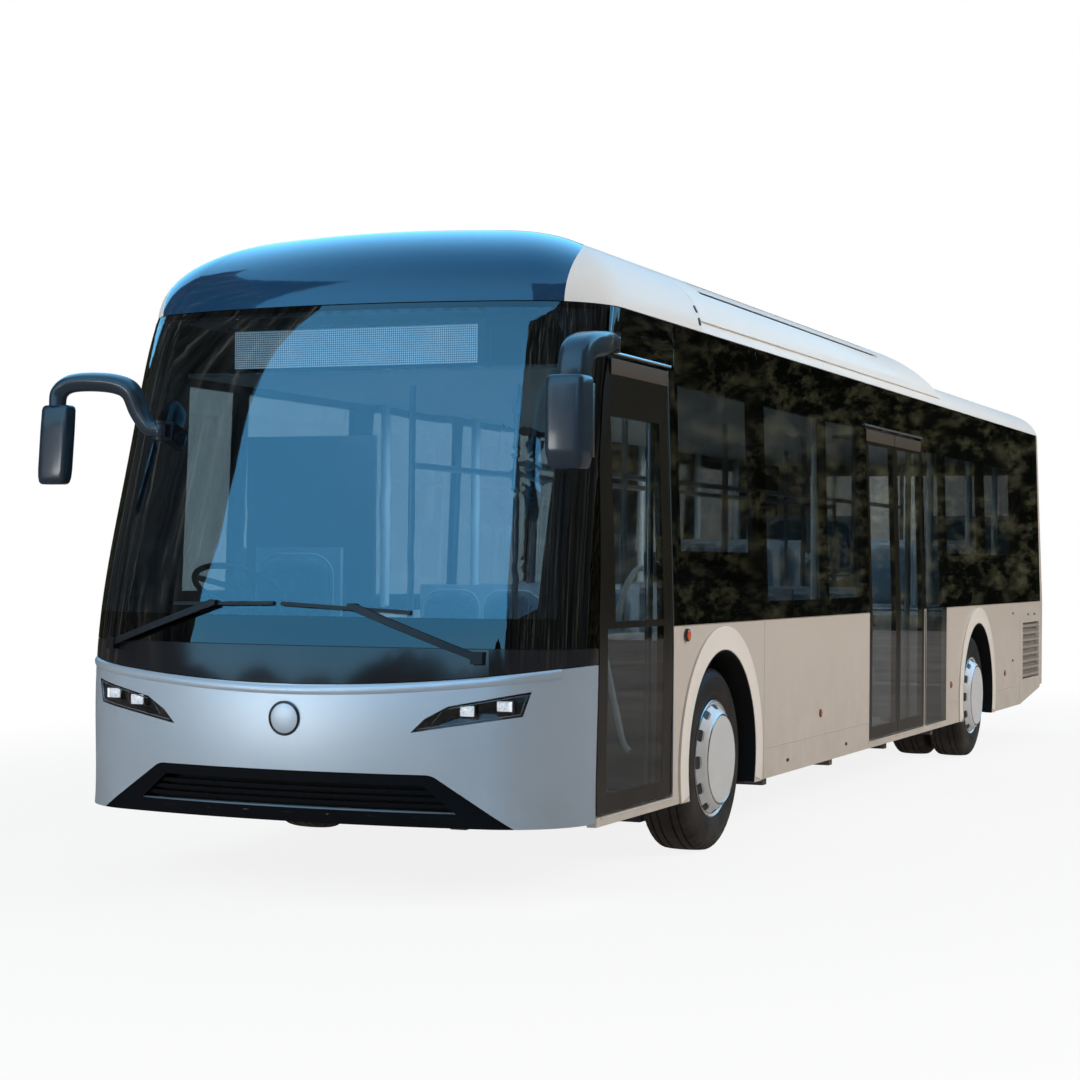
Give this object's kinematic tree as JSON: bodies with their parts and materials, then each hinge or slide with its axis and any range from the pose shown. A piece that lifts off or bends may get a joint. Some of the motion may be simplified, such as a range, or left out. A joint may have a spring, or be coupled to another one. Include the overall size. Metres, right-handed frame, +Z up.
{
  "type": "city bus",
  "caption": "Low-floor battery-electric city bus, doors on the left side, with steered front wheels, swinging plug doors and a rear service lid.",
  "frame": {"origin": "on the ground under the middle of the bus, on its centre plane", "axes": "+X towards the door side (the bus's left), -Y towards the front, +Z up"},
  "size_m": [2.863, 12.0235, 3.1099],
  "materials": {
    "silver_paint": "satin metallic paint",
    "beige_paint": "gloss paint",
    "white_paint": "gloss paint",
    "black_gloss": "polished",
    "black_frame": "satin paint",
    "screen_glass": "clear, slightly blue",
    "tinted_glass": "dark tint",
    "door_glass": "light tint",
    "lamp_glass": "clear lens",
    "red_lens": "red lens",
    "door_frame": "satin paint",
    "steel": "brushed",
    "floor_grey": "studded sheet",
    "chassis_black": "matt coating",
    "wheel_silver": "satin paint",
    "tyre": "matt",
    "seat_shell": "textured",
    "seat_fabric": "woven",
    "rail_yellow": "powder coat",
    "dash_plastic": "grained",
    "ceiling_white": "smooth",
    "display_black": "polished",
    "mirror_shell": "satin"
  },
  "bodies": {
    "body": {"axles": "chassis_black", "cab_fittings": "dash_plastic", "ceiling_panel": "ceiling_white", "chassis_frame": "chassis_black", "destination_display": "display_black", "floor_deck": "floor_grey", "front_bumper": "silver_paint", "front_mask": "black_gloss", "grab_rails": "rail_yellow", "grilles": "black_gloss", "headlamps": "lamp_glass", "heavy_units": "chassis_black", "mirror_mounts": "mirror_shell", "rear_deck": "floor_grey", "rear_wall": "beige_paint", "roof_fairing": "white_paint", "roof_front_cap": "white_paint", "roof_shell": "white_paint", "seat_pads": "seat_fabric", "seat_shells": "seat_shell", "side_frames": "black_frame", "side_skirts": "beige_paint", "steering_wheel": "dash_plastic", "tail_lamps": "red_lens", "wheel_boxes": "floor_grey", "window_glass": "tinted_glass", "windscreen": "screen_glass", "windscreen_frame": "black_frame", "wipers": "dash_plastic"},
    "steer_left": {"knuckle_left": "chassis_black"},
    "steer_right": {"knuckle_right": "chassis_black"},
    "wheel_front_left": {"front_wheel_left": "wheel_silver", "front_tyre_left": "tyre"},
    "wheel_front_right": {"front_wheel_right": "wheel_silver", "front_tyre_right": "tyre"},
    "wheel_rear_left": {"rear_wheel_left": "wheel_silver", "rear_tyres_left": "tyre"},
    "wheel_rear_right": {"rear_wheel_right": "wheel_silver", "rear_tyres_right": "tyre"},
    "front_door": {"front_door_leaf": "door_frame", "front_door_glass": "door_glass"},
    "front_door_arm": {"front_door_post": "steel"},
    "mid_door_fore": {"mid_door_leaf_front": "door_frame", "mid_door_glass_front": "door_glass"},
    "mid_door_fore_arm": {"mid_door_post_front": "steel"},
    "mid_door_aft": {"mid_door_leaf_rear": "door_frame", "mid_door_glass_rear": "door_glass"},
    "mid_door_aft_arm": {"mid_door_post_rear": "steel"},
    "rear_lid": {"service_lid": "beige_paint"},
    "left_mirror": {"mirror_left": "mirror_shell"},
    "right_mirror": {"mirror_right": "mirror_shell"}
  },
  "joints": [
    {"name": "steer_left", "type": "hinge", "parent": "body", "child": "steer_left", "pos_m": [0.93, -3.629, 0.478], "axis": [0, 0, 1], "range_deg": [-45, 45]},
    {"name": "steer_right", "type": "hinge", "parent": "body", "child": "steer_right", "pos_m": [-0.93, -3.629, 0.478], "axis": [0, 0, 1], "range_deg": [-45, 45]},
    {"name": "front_wheel_left", "type": "hinge", "parent": "steer_left", "child": "wheel_front_left", "pos_m": [1.097, -3.629, 0.478], "axis": [1, 0, 0], "continuous": true},
    {"name": "front_wheel_right", "type": "hinge", "parent": "steer_right", "child": "wheel_front_right", "pos_m": [-1.097, -3.629, 0.478], "axis": [1, 0, 0], "continuous": true},
    {"name": "rear_wheel_left", "type": "hinge", "parent": "body", "child": "wheel_rear_left", "pos_m": [0.944, 2.911, 0.478], "axis": [1, 0, 0], "continuous": true},
    {"name": "rear_wheel_right", "type": "hinge", "parent": "body", "child": "wheel_rear_right", "pos_m": [-0.944, 2.911, 0.478], "axis": [1, 0, 0], "continuous": true},
    {"name": "front_door_post", "type": "hinge", "parent": "body", "child": "front_door_arm", "pos_m": [1.15, -4.444, 1.2], "axis": [0, 0, 1], "range_deg": [0, 155]},
    {"name": "front_door_leaf", "type": "hinge", "parent": "front_door_arm", "child": "front_door", "pos_m": [1.15, -4.984, 1.2], "axis": [0, 0, 1], "range_deg": [-155, 0]},
    {"name": "mid_door_fore_post", "type": "hinge", "parent": "body", "child": "mid_door_fore_arm", "pos_m": [1.15, -0.494, 1.2], "axis": [0, 0, -1], "range_deg": [0, 155]},
    {"name": "mid_door_fore_leaf", "type": "hinge", "parent": "mid_door_fore_arm", "child": "mid_door_fore", "pos_m": [1.15, -0.084, 1.2], "axis": [0, 0, -1], "range_deg": [-155, 0]},
    {"name": "mid_door_aft_post", "type": "hinge", "parent": "body", "child": "mid_door_aft_arm", "pos_m": [1.15, 1.016, 1.2], "axis": [0, 0, 1], "range_deg": [0, 155]},
    {"name": "mid_door_aft_leaf", "type": "hinge", "parent": "mid_door_aft_arm", "child": "mid_door_aft", "pos_m": [1.15, 0.606, 1.2], "axis": [0, 0, 1], "range_deg": [-155, 0]},
    {"name": "rear_lid", "type": "hinge", "parent": "body", "child": "rear_lid", "pos_m": [0, 6, 1.42], "axis": [1, 0, 0], "range_deg": [0, 80]},
    {"name": "left_mirror_fold", "type": "hinge", "parent": "body", "child": "left_mirror", "pos_m": [1.262, -5.229, 2.5], "axis": [0, 0, 1], "range_deg": [-15, 30]},
    {"name": "right_mirror_fold", "type": "hinge", "parent": "body", "child": "right_mirror", "pos_m": [-0.84, -5.729, 2.1], "axis": [0, 0, -1], "range_deg": [-10, 25]}
  ],
  "couplings": [
    {"joint": "steer_right", "follows": "steer_left", "ratio": 1},
    {"joint": "front_door_leaf", "follows": "front_door_post", "ratio": -1},
    {"joint": "mid_door_fore_leaf", "follows": "mid_door_fore_post", "ratio": -1},
    {"joint": "mid_door_aft_post", "follows": "mid_door_fore_post", "ratio": 1},
    {"joint": "mid_door_aft_leaf", "follows": "mid_door_fore_post", "ratio": -1}
  ]
}
